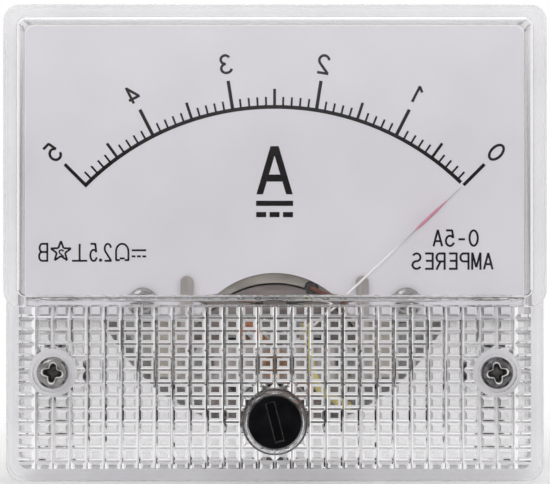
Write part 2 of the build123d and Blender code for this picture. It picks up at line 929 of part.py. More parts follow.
def balance_weights():
    arm = balance_weight(arm_weight_r, arm_weight_length, hub_arm_width)
    tail = balance_weight(tail_weight_r, tail_weight_length, hub_tail_width)
    turns = ((arm, 0), (arm, 180), (tail, 90))
    return [on_pivot(Rot(0, angle, 0) * weight) for weight, angle in turns]


# Zero setting
def zero_adjuster():
    """Slotted disc on a split stem, with an eccentric pin behind the strip."""
    head_rear_y = strip_y - adjuster_play
    head_front_y = head_rear_y - adjuster_head_height
    keeper_y = strip_inner_y + adjuster_play
    keeper_end_y = keeper_y + adjuster_keeper_height
    adjuster = rod(adjuster_head_r, head_front_y, head_rear_y)
    adjuster += rod(adjuster_stem_r, head_rear_y, keeper_y)
    adjuster += rod(adjuster_keeper_r, keeper_y, keeper_end_y)
    adjuster += rod(adjuster_pin_r, keeper_end_y, keeper_end_y + adjuster_pin_length, 0, adjuster_pin_throw)
    slot = Rot(0, 0, 90 + adjuster_slot_tilt) * Rectangle(adjuster_slot_length, adjuster_slot_width)
    adjuster -= slab(slot, head_front_y, head_front_y + adjuster_slot_depth)
    split = Rectangle(2 * adjuster_keeper_r, adjuster_split)
    adjuster -= slab(split, strip_y + strip_thickness / 2, keeper_end_y)
    return Pos(0, 0, adjuster_z) * adjuster


def zero_lever():
    """Lever on the front bridge's boss: fork round the adjuster's pin, post for the hairspring."""
    pin_reach = pivot_z - adjuster_z - adjuster_pin_throw
    end = pin_reach + adjuster_pin_throw
    slot_half = adjuster_pin_r + fork_gap
    slot_top = pin_reach - slot_half
    outline = Circle(lever_eye_r)
    outline += strip_between(-lever_arm_width / 2, lever_arm_width / 2, -end, 0)
    fork_top = -end + lever_fork_height
    outline += strip_between(-lever_fork_width / 2, lever_fork_width / 2, -end, fork_top)
    outline -= strip_between(-slot_half, slot_half, -end, -slot_top)
    outline -= Circle(lever_boss_r + running_gap)
    lever = slab(at(0, pivot_z, outline), lever_y, lever_y + lever_thickness)
    post_end_y = spring_mid_y(-1) + spring_width / 2
    return lever + rod(spring_post_r, lever_y + lever_thickness, post_end_y, 0, pivot_z - spring_outer_r)


# Leads
def lead_sleeve():
    """Black lead from the left terminal, through the gap under the magnet's crown, to the front."""
    z = pivot_z + lead_rise
    head_y = floor_y - shunt_thickness - terminal_head_height
    points = [
        (lead_x, magnet_front_y - sleeve_end, z),
        (lead_x, head_y - sleeve_run, z),
        (-terminal_x, head_y - lead_drop, terminal_z),
        (-terminal_x, head_y - solder_gap, terminal_z),
    ]
    return tube(points, lead_bend_r, sleeve_r)


def lead_wire():
    """Bare end of the black lead, in front of the dial's edge and down to the front bridge's foot."""
    z = pivot_z + lead_rise
    wire_y = dial_front_y - bare_wire_r - tab_lift
    foot_z = pivot_z + bridge_half_height
    foot_y = magnet_front_y - bridge_thickness / 2
    points = [(lead_x, magnet_front_y - sleeve_end, z)]
    points += [(lead_x + right, wire_y, z + up) for right, up in bare_wire_steps]
    points.append((points[-1][0], foot_y, foot_z + bare_wire_end_gap))
    return tube(points, bare_wire_bends, bare_wire_r)


def yellow_lead():
    """Lead from the front bridge's tag, down past the pole pieces, back to the right terminal."""
    tag_y = strap_y - lead_r - solder_gap
    tag_z = pivot_z + bridge_half_height + tag_height
    head_y = floor_y - shunt_thickness - terminal_head_height
    points = [(tag_x, tag_y, tag_z)]
    points += [(tag_x + right, tag_y + back, pivot_z + up) for right, back, up in yellow_steps]
    points += [
        (points[-1][0], rear_plate_y + yellow_run, points[-1][2]),
        (terminal_x, head_y - lead_drop, terminal_z),
        (terminal_x, head_y - solder_gap, terminal_z),
    ]
    return tube(points, yellow_bends, lead_r)


# Every piece in its own file, identical fasteners together
pieces = {
    "front_cover": front_cover(),
    "cover_screws": cover_screws(),
    "zero_adjuster": zero_adjuster(),
    "base": base(),
    "mounting_studs": mounting_studs(),
    "terminal_studs": terminal_studs(),
    "terminal_washers": terminal_washers(),
    "terminal_nuts": terminal_nuts(),
    "shunt_strip": shunt_strip(),
    "dial_plate": dial_plate(),
    "dial_screws": dial_screws(),
    "dial_posts": dial_posts(),
    "magnet": magnet(),
    "left_pole_piece": pole_piece(-1),
    "right_pole_piece": pole_piece(1),
    "core": core(),
    "core_carrier": core_carrier(),
    "stop_pins": stop_pins(),
    "front_bridge": front_bridge(),
    "front_bridge_screws": front_bridge_screws(),
    "rear_bridge": rear_bridge(),
    "rear_bridge_screws": rear_bridge_screws(),
    "front_jewel": jewel(-1),
    "rear_jewel": jewel(1),
    "front_jewel_screw": jewel_screw(-1),
    "rear_jewel_screw": jewel_screw(1),
    "front_locknut": locknut(-1),
    "rear_locknut": locknut(1),
    "front_pivot": pivot(-1),
    "rear_pivot": pivot(1),
    "coil_frame": coil_frame(),
    "coil_winding": coil_winding(),
    "pointer": pointer(),
    "pointer_hub": pointer_hub(),
    "balance_weights": balance_weights(),
    "front_hairspring": hairspring(-1),
    "rear_hairspring": hairspring(1),
    "zero_lever": zero_lever(),
    "lead_sleeve": lead_sleeve(),
    "lead_wire": lead_wire(),
    "yellow_lead": yellow_lead(),
}

os.makedirs("parts", exist_ok=True)
for name, piece in pieces.items():
    solids = piece if isinstance(piece, list) else piece.solids()
    export_step(Compound(label=name, children=list(solids)), f"parts/{name}.step")
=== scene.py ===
import json
import math

import bmesh
import bpy
from mathutils import Matrix, Vector


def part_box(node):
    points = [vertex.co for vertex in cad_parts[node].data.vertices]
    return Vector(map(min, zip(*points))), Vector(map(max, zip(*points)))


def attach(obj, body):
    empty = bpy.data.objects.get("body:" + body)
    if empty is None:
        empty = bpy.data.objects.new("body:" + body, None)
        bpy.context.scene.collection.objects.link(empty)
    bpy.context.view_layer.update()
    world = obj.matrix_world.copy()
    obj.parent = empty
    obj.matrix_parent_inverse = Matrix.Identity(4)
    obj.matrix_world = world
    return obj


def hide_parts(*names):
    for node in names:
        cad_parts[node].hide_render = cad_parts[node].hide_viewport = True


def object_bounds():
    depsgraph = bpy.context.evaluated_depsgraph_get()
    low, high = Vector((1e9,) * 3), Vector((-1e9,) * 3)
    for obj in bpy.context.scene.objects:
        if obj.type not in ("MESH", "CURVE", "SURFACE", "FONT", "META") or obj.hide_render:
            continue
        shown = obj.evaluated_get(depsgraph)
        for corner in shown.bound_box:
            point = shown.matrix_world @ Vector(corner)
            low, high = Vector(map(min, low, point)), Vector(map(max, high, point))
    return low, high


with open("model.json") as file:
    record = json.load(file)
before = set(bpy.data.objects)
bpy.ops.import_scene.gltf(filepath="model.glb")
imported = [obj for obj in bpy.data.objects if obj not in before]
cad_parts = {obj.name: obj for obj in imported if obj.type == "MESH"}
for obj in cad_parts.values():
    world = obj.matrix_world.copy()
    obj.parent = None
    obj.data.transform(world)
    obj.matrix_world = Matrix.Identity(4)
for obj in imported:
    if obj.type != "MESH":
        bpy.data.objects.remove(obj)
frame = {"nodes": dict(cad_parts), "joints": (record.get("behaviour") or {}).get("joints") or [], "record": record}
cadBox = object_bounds()
nodes = frame["nodes"]
joints = {j["name"]: j for j in frame["joints"]}
scene = bpy.context.scene
mm = 0.001
print("frame loaded,", len(nodes), "nodes")


# node helpers for the materials

def newMaterial(name, values):
    mat = bpy.data.materials.new(name)
    mat.use_nodes = True
    shader = mat.node_tree.nodes["Principled BSDF"]
    for socket, value in values.items():
        shader.inputs[socket].default_value = value
    return mat, mat.node_tree, shader


def objectCoords(tree, stretch=(1, 1, 1), shift=(0, 0, 0)):
    where = tree.nodes.new("ShaderNodeTexCoord")
    mapping = tree.nodes.new("ShaderNodeMapping")
    mapping.inputs["Location"].default_value = shift
    mapping.inputs["Scale"].default_value = stretch
    tree.links.new(where.outputs["Object"], mapping.inputs["Vector"])
    return mapping.outputs["Vector"]


def noise(tree, coords, size, detail=4):
    # size is about how far apart the blotches are, in mm
    node = tree.nodes.new("ShaderNodeTexNoise")
    node.inputs["Scale"].default_value = 1 / (size * mm)
    node.inputs["Detail"].default_value = detail
    tree.links.new(coords, node.inputs["Vector"])
    return node.outputs["Fac"]


def ramp(tree, factor, stops):
    node = tree.nodes.new("ShaderNodeValToRGB")
    elements = node.color_ramp.elements
    elements.remove(elements[1])
    elements[0].position, elements[0].color = stops[0][0], (*stops[0][1], 1)
    for place, colour in stops[1:]:
        elements.new(place).color = (*colour, 1)
    tree.links.new(factor, node.inputs["Fac"])
    return node.outputs["Color"]


def between(tree, factor, low, high, fromLow=0.3, fromHigh=0.7):
    node = tree.nodes.new("ShaderNodeMapRange")
    node.inputs["From Min"].default_value = fromLow
    node.inputs["From Max"].default_value = fromHigh
    node.inputs["To Min"].default_value = low
    node.inputs["To Max"].default_value = high
    tree.links.new(factor, node.inputs["Value"])
    return node.outputs["Result"]


def lengthOf(tree, vector):
    node = tree.nodes.new("ShaderNodeVectorMath")
    node.operation = "LENGTH"
    tree.links.new(vector, node.inputs[0])
    return node.outputs["Value"]


def bump(tree, shader, height, depth):
    # depth in mm
    node = tree.nodes.new("ShaderNodeBump")
    node.inputs["Distance"].default_value = depth * mm
    tree.links.new(height, node.inputs["Height"])
    tree.links.new(node.outputs["Normal"], shader.inputs["Normal"])


# white moulding: how far light wanders in it, and the depths between which it gets from dense to translucent
throughLight = {"reach": 3.5, "from": (0.0, 3.0)}  # in mm
# noise from the first value to the second takes a finish from its dark tone to its light one
toneSpan = (0.32, 0.68)
# finishes: two tones that wander, a roughness range, blotch and grain sizes and grain depth in mm
finishes = {
    "white_plastic": dict(dark=(0.82, 0.82, 0.815), light=(0.89, 0.89, 0.88), rough=(0.36, 0.46), blotch=7,
                          grain=0.25, depth=0.004, deep=(0.3, 1)),
    "black_plastic": dict(dark=(0.002, 0.002, 0.0025), light=(0.005, 0.005, 0.006), rough=(0.2, 0.3),
                          blotch=2, grain=0.15, depth=0.001, specular=0.05),
    # the adjuster's broken edges: a lighter black, wear with a painted highlight
    "wornBlackHighlight": dict(dark=(0.01, 0.01, 0.011), light=(0.045, 0.044, 0.046), rough=(0.25, 0.35), blotch=0.5,
                      grain=0.1, depth=0.002),
    "nickel_screw": dict(dark=(0.3, 0.29, 0.28), light=(0.5, 0.5, 0.49), rough=(0.08, 0.18), blotch=0.9,
                         grain=0.12, depth=0.004, metal=1),
    # the cover screws' heads: a darker nickel than the dial screws'
    "dimNickelHead": dict(dark=(0.2, 0.195, 0.19), light=(0.42, 0.415, 0.41), rough=(0.12, 0.24), blotch=0.9,
                          grain=0.12, depth=0.004, metal=1),
    # the second cover screw's head: a darker copy of the same nickel, painted shade
    "paintedShadeHead": dict(dark=(0.05, 0.047, 0.05), light=(0.22, 0.215, 0.22), rough=(0.12, 0.26), blotch=0.7,
                     grain=0.12, depth=0.004, metal=1),
    # the recess's rim: rubbed metal with a painted highlight, far lighter than the head
    "rubbedRimHighlight": dict(dark=(0.8, 0.8, 0.79), light=(0.92, 0.92, 0.91), rough=(0.25, 0.4), blotch=0.5,
                       grain=0.1, depth=0.003, metal=0.15),
    # inside the recess: painted shade
    "recessPaintedShade": dict(dark=(0.05, 0.047, 0.045), light=(0.16, 0.155, 0.15), rough=(0.3, 0.45), blotch=0.5,
                        grain=0.1, depth=0.005, metal=0.8),
    "brass": dict(dark=(0.62, 0.45, 0.2), light=(0.8, 0.62, 0.31), rough=(0.25, 0.38), blotch=1.4, grain=0.14,
                  depth=0.004, metal=1),
    "resistance_alloy": dict(dark=(0.5, 0.35, 0.27), light=(0.66, 0.49, 0.39), rough=(0.3, 0.42), blotch=3,
                             grain=0.2, depth=0.003, metal=1, stretch=(0.15, 1, 1)),
    "magnet_alloy": dict(dark=(0.36, 0.33, 0.29), light=(0.56, 0.52, 0.46), rough=(0.42, 0.58), blotch=0.7,
                         grain=0.1, depth=0.006, metal=0.4, stretch=(0.12, 1, 1)),
    "soft_iron": dict(dark=(0.3, 0.28, 0.27), light=(0.45, 0.42, 0.4), rough=(0.4, 0.55), blotch=1.3,
                      grain=0.15, depth=0.006, metal=0.8),
    "die_cast_zinc": dict(dark=(0.15, 0.125, 0.115), light=(0.32, 0.28, 0.26), rough=(0.42, 0.6), blotch=0.6,
                          grain=0.1, depth=0.008, metal=0.4, stretch=(0.1, 1, 1)),
    "steel": dict(dark=(0.5, 0.5, 0.5), light=(0.66, 0.66, 0.66), rough=(0.22, 0.34), blotch=0.8, grain=0.1,
                  depth=0.003, metal=1),
    # bridge metal: its own grey, taken darker to paint in the shade it sits in inside the can
    "bridge_metal": dict(dark=(0.36, 0.33, 0.31), light=(0.52, 0.48, 0.46), rough=(0.38, 0.52), blotch=0.7,
                         grain=0.1, depth=0.008, metal=0.5, stretch=(1, 1, 0.1)),
    "aluminium": dict(dark=(0.66, 0.66, 0.66), light=(0.82, 0.82, 0.82), rough=(0.26, 0.4), blotch=1,
                      grain=0.1, depth=0.003, metal=0.9),
    "bareLead": dict(dark=(0.1, 0.03, 0.022), light=(0.26, 0.09, 0.06), rough=(0.28, 0.4), blotch=0.5,
                     grain=0.1, depth=0.004, metal=0.6),
    "agedBronze": dict(dark=(0.3, 0.17, 0.1), light=(0.46, 0.28, 0.18), rough=(0.3, 0.45), blotch=0.8,
                       grain=0.12, depth=0.004, metal=0.7),
    "copper_wire": dict(dark=(0.4, 0.15, 0.07), light=(0.62, 0.29, 0.16), rough=(0.22, 0.36), blotch=0.6,
                        grain=0.12, depth=0.01, metal=0.8, stretch=(1, 0.2, 1)),
    "spring_bronze": dict(dark=(0.5, 0.32, 0.16), light=(0.68, 0.47, 0.27), rough=(0.26, 0.38), blotch=0.8,
                          grain=0.1, depth=0.003, metal=1),
    "black_insulation": dict(dark=(0.018, 0.018, 0.019), light=(0.04, 0.04, 0.042), rough=(0.45, 0.6),
                             blotch=1, grain=0.12, depth=0.008),
    "yellow_insulation": dict(dark=(0.46, 0.39, 0.13), light=(0.62, 0.54, 0.22), rough=(0.36, 0.5),
                              blotch=1.2, grain=0.12, depth=0.005),
    "dial_paint": dict(dark=(0.685, 0.67, 0.7), light=(0.73, 0.715, 0.745), rough=(0.48, 0.58), blotch=9,
                       grain=0.1, depth=0.002),
    "printInk": dict(dark=(0.003, 0.0025, 0.003), light=(0.009, 0.008, 0.009), rough=(0.55, 0.68), blotch=0.6,
                     grain=0.08, depth=0.002, specular=0.15),
}


def mouldedOrMetal(name, look):
    mat, tree, shader = newMaterial(name, {"Metallic": look.get("metal", 0),
                                           "Specular IOR Level": look.get("specular", 0.5),
                                           "Subsurface Radius": (1, 1, 1),
                                           "Subsurface Scale": throughLight["reach"] * mm})
    coords = objectCoords(tree, look.get("stretch", (1, 1, 1)))
    blotches = noise(tree, coords, look["blotch"])
    colour = ramp(tree, blotches, [(toneSpan[0], look["dark"]), (toneSpan[1], look["light"])])
    tree.links.new(colour, shader.inputs["Base Color"])
    tree.links.new(between(tree, blotches, *look["rough"]), shader.inputs["Roughness"])
    bump(tree, shader, noise(tree, coords, look["grain"], 2), look["depth"])
    if "deep" in look:
        split = tree.nodes.new("ShaderNodeSeparateXYZ")
        tree.links.new(coords, split.inputs[0])
        dense, thin = (v * mm for v in throughLight["from"])
        wander = between(tree, split.outputs["Y"], *look["deep"], dense, thin)
        tree.links.new(wander, shader.inputs["Subsurface Weight"])
    return mat


# clear cover: polished; light from the lamps and between the pieces goes straight through, so that the
# dial is lit; the floors of the ribs' grooves and the collar's rim get darker colours, which are painted shade
coverLook = {"tint": (0.988, 0.983, 0.99, 1), "grooveShadeColour": (0.5, 0.485, 0.5, 1),
             "uprightShadeColour": (0.72, 0.7, 0.72, 1), "collarShadeColour": (0.2, 0.19, 0.2, 1),
             "shade": (0.96, 0.957, 0.966, 1), "ior": 1.57, "rough": (0.0, 0.03), "waves": 14,
             "waveDepth": 0.0007}


# tint is the walls' own clear tint; for the floors of the ribs' grooves and the collar's rim it is a darker
# colour, painted shade
def clearMoulding(name, look, tint):
    mat, tree, shader = newMaterial(name, {"Base Color": tint, "IOR": look["ior"], "Transmission Weight": 1})
    coords = objectCoords(tree)
    waves = noise(tree, coords, look["waves"], 1)
    tree.links.new(between(tree, waves, *look["rough"]), shader.inputs["Roughness"])
    bump(tree, shader, waves, look["waveDepth"])
    path = tree.nodes.new("ShaderNodeLightPath")
    through = tree.nodes.new("ShaderNodeBsdfTransparent")
    through.inputs["Color"].default_value = look["shade"]
    surface = shader.outputs["BSDF"]
    for ray in ("Is Shadow Ray", "Is Diffuse Ray"):
        mix = tree.nodes.new("ShaderNodeMixShader")
        tree.links.new(path.outputs[ray], mix.inputs["Fac"])
        tree.links.new(surface, mix.inputs[1])
        tree.links.new(through.outputs["BSDF"], mix.inputs[2])
        surface = mix.outputs["Shader"]
    tree.links.new(surface, tree.nodes["Material Output"].inputs["Surface"])
    return mat


# pointer: bright shaft, red lance near the tip; places are distances from the pivot in mm
pointerLook = {"silver": (0.9, 0.89, 0.88), "dull": (0.45, 0.43, 0.45), "edge": (0.5, 0.48, 0.5),
               "red": (0.6, 0.27, 0.34), "dullFrom": 19.0, "lanceFrom": 23.2, "lanceTo": 28.3, "reach": 32.0,
               "fade": 0.35, "metal": 0.2, "grain": 0.15, "rough": (0.28, 0.42), "depth": 0.002}


def pointerPaint(look):
    mat, tree, shader = newMaterial("pointer paint", {"Metallic": look["metal"]})
    pivot = joints["pointer_deflection"]["pos_m"]
    flat = objectCoords(tree, (1, 0, 1), (-pivot[0], 0, -pivot[2]))
    along = between(tree, lengthOf(tree, flat), 0, 1, 0, look["reach"] * mm)
    # the shaft is silver, then dims to grey before the lance; the lance is red and the tip past it grey
    dimFrom, start, end, fade = (look[k] / look["reach"] for k in ("dullFrom", "lanceFrom", "lanceTo", "fade"))
    colour = ramp(tree, along, [(dimFrom, look["silver"]), (start, look["dull"]), (start + fade, look["red"]),
                                (end, look["red"]), (end + fade, look["edge"])])
    tree.links.new(colour, shader.inputs["Base Color"])
    grain = noise(tree, objectCoords(tree), look["grain"], 2)
    tree.links.new(between(tree, grain, *look["rough"]), shader.inputs["Roughness"])
    bump(tree, shader, grain, look["depth"])
    return mat


# jewels: a red stone with clouds in it, their size in mm
jewelLook = {"dark": (0.5, 0.03, 0.1), "light": (0.8, 0.1, 0.2), "span": (0.3, 0.7), "cloud": 0.4,
             "ior": 1.76, "clear": 0.6, "rough": 0.08}


def jewelStone(look):
    mat, tree, shader = newMaterial("jewel stone", {"IOR": look["ior"], "Transmission Weight": look["clear"],
                                                    "Roughness": look["rough"]})
    clouds = noise(tree, objectCoords(tree), look["cloud"])
    colour = ramp(tree, clouds, [(look["span"][0], look["dark"]), (look["span"][1], look["light"])])
    tree.links.new(colour, shader.inputs["Base Color"])
    return mat


finishOf = {slot: mouldedOrMetal(slot.replace("_", " "), look) for slot, look in finishes.items()}
finishOf["clear_plastic"] = clearMoulding("clear moulding", coverLook, coverLook["tint"])
# the ribs' narrow floors, crosswise and upright: painted shade, as dark lines between the ribs
finishOf["grooveFloorShade"] = clearMoulding("groove painted shade", coverLook, coverLook["grooveShadeColour"])
finishOf["uprightFloorShade"] = clearMoulding("upright groove painted shade", coverLook, coverLook["uprightShadeColour"])
# the collar's rim: painted shade, a dark ring round its outer edge
finishOf["collarRimShade"] = clearMoulding("collar rim painted shade", coverLook, coverLook["collarShadeColour"])
finishOf["pointer_paint"] = pointerPaint(pointerLook)
finishOf["jewel"] = jewelStone(jewelLook)
# pieces whose finish differs from the rest of their slot
ownFinish = {"lead_wire": "bareLead", "front_locknut": "agedBronze", "front_jewel_screw": "agedBronze",
             "balance_weights": "steel"}
for part in frame["record"]["subparts"]:
    materials = nodes[part["node"]].data.materials
    materials.clear()
    materials.append(finishOf[ownFinish.get(part["node"], part["material_slot"])])
print("finishes on the frame:", len(finishOf))


# mesh helpers; all sizes in mm

mergeWithin = 1e-4  # points of a copied node that are one
seamWithin = 1e-5  # and those at the seam and poles of a turned piece
flatAngle = math.radians(1)  # faces that turn less than this are one flat face


def addPiece(name, bm, slot, body, materials=None):
    materials = materials or (slot,)
    if len(materials) == 1:  # what comes out of a node tree has an index of its own
        for face in bm.faces:
            face.material_index = 0
    mesh = bpy.data.meshes.new(name)
    bm.to_mesh(mesh)
    bm.free()
    mesh.transform(Matrix.Scale(mm, 4))
    obj = bpy.data.objects.new(name, mesh)
    scene.collection.objects.link(obj)
    for finish in materials:
        mesh.materials.append(finishOf[finish])
    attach(obj, body)
    return obj


def evaluatedMesh(obj):
    # the modifiers' result as a plain mesh; the object itself goes
    graph = bpy.context.evaluated_depsgraph_get()
    mesh = bpy.data.meshes.new_from_object(obj.evaluated_get(graph))
    bpy.data.objects.remove(obj)
    return mesh


def smoothTo(obj, degrees):
    obj.data.shade_smooth()
    obj.data.set_sharp_from_angle(angle=math.radians(degrees))


def arcPoints(centre, radii, fromDeg, toDeg, count=16):
    steps = [math.radians(fromDeg + (toDeg - fromDeg) * i / count) for i in range(count + 1)]
    return [(centre[0] + radii[0] * math.cos(t), centre[1] + radii[1] * math.sin(t)) for t in steps]


def band(bm, points, width):
    # flat strip of even width along the points, drawn in x and z
    rows = []
    for i, p in enumerate(points):
        before, after = points[max(i - 1, 0)], points[min(i + 1, len(points) - 1)]
        along = (Vector(after) - Vector(before)).normalized()
        side = Vector((-along.y, along.x)) * width / 2
        rows.append([bm.verts.new((p[0] + k * side.x, 0, p[1] + k * side.y)) for k in (-1, 1)])
    for (a, b), (c, d) in zip(rows, rows[1:]):
        bm.faces.new((a, c, d, b))


def patch(bm, points):
    bm.faces.new([bm.verts.new((x, 0, z)) for x, z in points])


def thicken(bm, y, side, thickness):
    # flat faces laid at y, turned to the front (-1) or the rear (1), and made solid
    for v in bm.verts:
        v.co.y = y
    for face in bm.faces:
        face.normal_update()
        if face.normal.y * side < 0:
            face.normal_flip()
    bmesh.ops.solidify(bm, geom=bm.faces[:], thickness=thickness)


# the cover's own mesh is a hair smaller all round, so that no face of it lies in a face of what it rests on
# shelf: depth and height of the edge inside, under the window, and how far it is rounded
# collar: depth and radius of its inner edge, how far that is rounded, and radii round its outer edge
# grooves: depths between which the ribs' narrow floors lie
# near: how close to an edge its points are, on a straight one and on a round one
coverForm = {"skin": 0.012, "shelf": (-8.4, -6.5), "shelfRound": 1.15, "collar": (-11.4, 3.25),
             "collarRound": 0.35, "collarEdge": (3.66, 3.97), "grooves": (-9.0, -8.6), "steps": 8,
             "near": 0.02, "nearRound": 0.06, "facing": 0.99, "smooth": 25}


def mergedCopy(node):
    bm = bmesh.new()
    bm.from_mesh(nodes[node].data)
    bmesh.ops.scale(bm, vec=(1 / mm,) * 3, verts=bm.verts[:])
    bmesh.ops.remove_doubles(bm, verts=bm.verts[:], dist=mergeWithin)
    return bm


def clearCover(look):
    bm = mergedCopy("front_cover")
    adjusterZ = joints["zero_adjuster_turn"]["pos_m"][2] / mm
    shelf, collar = look["shelf"], look["collar"]

    def fromAxis(place):
        return math.hypot(place.x, place.z - adjusterZ)

    def onShelfEdge(v):
        return abs(v.co.y - shelf[0]) + abs(v.co.z - shelf[1]) < look["near"]

    def onCollarFront(v):
        return abs(v.co.y - collar[0]) < look["near"]

    def onCollarEdge(v):
        return onCollarFront(v) and abs(fromAxis(v.co) - collar[1]) < look["nearRound"]

    front = [f for f in bm.faces if all(onCollarFront(v) for v in f.verts)]
    # each point and edge once, in the mesh's own order, so that every run gives the same cover
    bmesh.ops.dissolve_limit(bm, angle_limit=flatAngle,
                             verts=list(dict.fromkeys(v for f in front for v in f.verts)),
                             edges=list(dict.fromkeys(e for f in front for e in f.edges)))
    shelfEdge = [e for e in bm.edges if all(onShelfEdge(v) for v in e.verts)]
    collarEdge = [e for e in bm.edges if all(onCollarEdge(v) for v in e.verts)]
    for edges, rounding in ((shelfEdge, look["shelfRound"]), (collarEdge, look["collarRound"])):
        bmesh.ops.bevel(bm, geom=edges, offset=rounding, segments=look["steps"], profile=0.5, affect="EDGES")
    bm.normal_update()
    inward = [(v, v.co - v.normal * look["skin"]) for v in bm.verts]
    low, high = look["grooves"]
    nearest, furthest = look["collarEdge"]
    # the ribs' narrow floors take darker finishes, which are painted shade; the faces round the collar's edge take
    # a dark one, also painted shade
    for face in bm.faces:
        place = face.calc_center_median()
        if face.normal.y > look["facing"] and low < place.y < high:
            xs, zs = ([v.co[k] for v in face.verts] for k in (0, 2))
            face.material_index = 2 if max(zs) - min(zs) > max(xs) - min(xs) else 1
        # faces round the collar's outer edge, except its flat front, take a dark finish: painted shade
        elif place.y < shelf[0] and nearest < fromAxis(place) < furthest:
            face.material_index = 3 if face.normal.y > -look["facing"] else 0
    for v, place in inward:
        v.co = place
    cover = addPiece("clear_cover", bm, "clear_plastic", "housing",
                     ("clear_plastic", "grooveFloorShade", "uprightFloorShade", "collarRimShade"))
    cover.data.attributes.remove(cover.data.attributes["custom_normal"])  # no longer true after the merge
    smoothTo(cover, look["smooth"])
    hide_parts("front_cover")


# adjuster: its edges broken, so that they catch the light, and given a lighter black: a little wear, with a
# painted highlight
adjusterForm = {"edge": 0.08, "sharpFrom": 35}


def adjusterKnob(look):
    bm = mergedCopy("zero_adjuster")
    bmesh.ops.dissolve_limit(bm, angle_limit=flatAngle, verts=bm.verts[:], edges=bm.edges[:])
    sharp = [e for e in bm.edges if e.calc_face_angle(0) > math.radians(look["sharpFrom"])]
    made = bmesh.ops.bevel(bm, geom=sharp, offset=look["edge"], segments=1, affect="EDGES")
    # the broken edges take the lighter black: painted highlight with a little wear
    for face in made["faces"]:
        face.material_index = 1
    knob = addPiece("adjuster_knob", bm, "black_plastic", "zero_adjuster", ("black_plastic", "wornBlackHighlight"))
    knob.data.attributes.remove(knob.data.attributes["custom_normal"])
    knob.data.shade_flat()
    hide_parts("zero_adjuster")


clearCover(coverForm)
adjusterKnob(adjusterForm)
print("clear cover and adjuster")


# dial print: drawn as it reads, then turned over because the photo shows it mirrored
# ticks: divisions in a period, the first and last of them that have the tick, its length and width
dialPrint = {"mirrored": True, "proud": 0.02, "thick": 0.03, "centreZ": -16.04, "arcRadius": 32.45,
             "arcWidth": 0.46, "halfAngle": 45, "units": 5, "divisions": 10, "zeroGap": 0.45,
             "ticks": {"unit": (10, 0, 0, 3.6, 0.41), "half": (10, 5, 5, 2.2, 0.34),
                       "tenth": (5, 1, 4, 1.23, 0.24)},
             "digitRadius": 38.1, "digitSize": (1.28, 2.14), "digitStroke": 0.32,
             "rowBottom": -2.28, "rowHeight": 2.06, "rowStroke": 0.24, "starStroke": 0.192,
             "words": [("0-5A", 22.0, -0.45), ("AMPERES", 21.6, -3.25)],
             "letterSize": (1.0, 1.86), "letterPitch": 1.45, "letterStroke": 0.26}
# unit letter: heights, and half widths at its top and feet; the cross bar's edges are (height, half width)
unitLetter = {"top": 11.64, "peak": 10.49, "foot": 5.79, "topHalf": 0.5, "outerFoot": 2.21, "innerFoot": 1.41,
              "barTop": (8.2, 0.69), "barFoot": (7.34, 0.945)}
# direct-current bars under it: a line over three dashes
unitBars = {"lineZ": 4.7, "lineHalf": 2.25, "dashZ": 3.33, "dashHalf": 0.61, "dashStep": 1.63, "stroke": 0.63}

